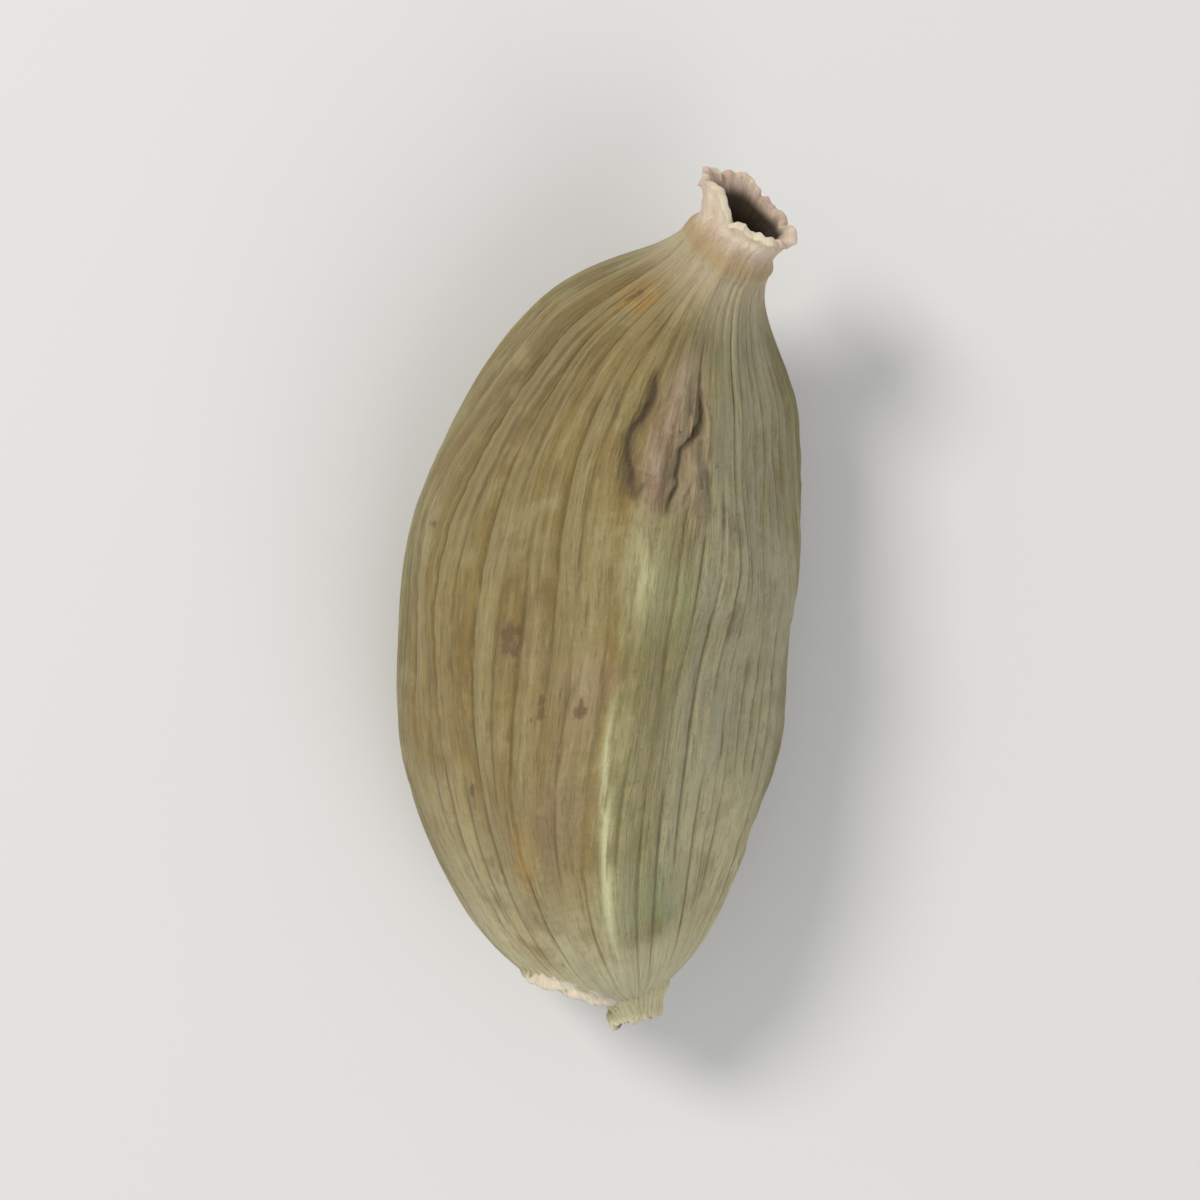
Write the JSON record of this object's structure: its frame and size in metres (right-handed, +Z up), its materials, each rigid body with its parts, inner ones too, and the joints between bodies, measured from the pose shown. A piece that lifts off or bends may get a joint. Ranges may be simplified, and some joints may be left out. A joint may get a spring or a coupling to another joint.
{
  "type": "green cardamom pod",
  "caption": "Whole dried green cardamom pod: three-sided ribbed husk with a dried flower tube at one end and a stalk stub at the other, lying on one face.",
  "frame": {"origin": "middle of the small flat spot on the underside, where the pod rests", "axes": "+Y along the pod from the stalk end to the flower tube, +Z up from the surface it lies on, +X across the pod"},
  "size_m": [0.0071, 0.0147, 0.006],
  "materials": {
    "husk": "dry, fibrous, matt with a slight sheen on the ribs",
    "calyx_tube": "dry, papery, matt",
    "stalk_stub": "dry, fibrous, matt"
  },
  "bodies": {
    "root": {"husk": "husk", "calyx_tube": "calyx_tube", "stalk_stub": "stalk_stub"}
  },
  "joints": []
}
